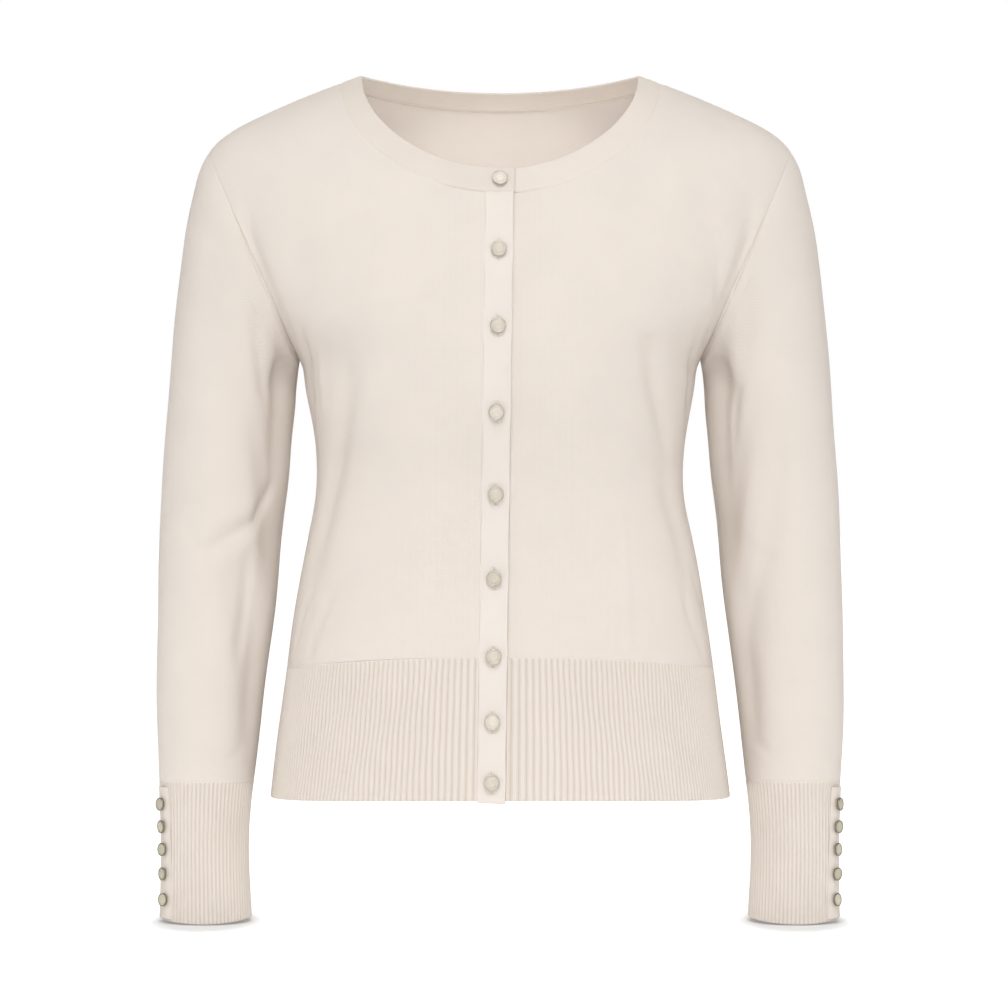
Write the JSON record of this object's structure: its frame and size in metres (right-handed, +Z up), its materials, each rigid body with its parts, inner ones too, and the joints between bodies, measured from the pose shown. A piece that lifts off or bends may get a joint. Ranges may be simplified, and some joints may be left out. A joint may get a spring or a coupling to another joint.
{
  "type": "button cardigan",
  "caption": "Fine-knit round-neck button cardigan in its worn, hollow shape, with a lapped front placket, a deep ribbed hem and long ribbed cuffs closed by small buttons.",
  "frame": {"origin": "middle of the neck opening at the level of the two shoulder neck points, where the wearer's shoulders hold the garment", "axes": "+Z up, -Y the garment's front, +X the wearer's left"},
  "size_m": [0.5356, 0.2318, 0.6571],
  "materials": {
    "plain_knit": "cream fine-gauge plain knit",
    "rib_knit": "cream one-by-one rib knit",
    "placket_knit": "cream double-knit strip",
    "button": "pearly resin cap in a thin satin nickel rim"
  },
  "bodies": {
    "root": {"back_panel": "plain_knit", "right_front_panel": "plain_knit", "left_front_panel": "plain_knit", "right_sleeve": "plain_knit", "left_sleeve": "plain_knit", "neckband": "rib_knit", "back_rib": "rib_knit", "right_front_rib": "rib_knit", "left_front_rib": "rib_knit", "right_cuff": "rib_knit", "left_cuff": "rib_knit", "buttonhole_placket": "placket_knit", "button_placket": "placket_knit", "right_cuff_placket": "placket_knit", "left_cuff_placket": "placket_knit", "front_button_1": "button", "front_button_2": "button", "front_button_3": "button", "front_button_4": "button", "front_button_5": "button", "front_button_6": "button", "front_button_7": "button", "front_button_8": "button", "front_button_9": "button", "right_cuff_button_1": "button", "right_cuff_button_2": "button", "right_cuff_button_3": "button", "right_cuff_button_4": "button", "right_cuff_button_5": "button", "left_cuff_button_1": "button", "left_cuff_button_2": "button", "left_cuff_button_3": "button", "left_cuff_button_4": "button", "left_cuff_button_5": "button"}
  },
  "joints": []
}
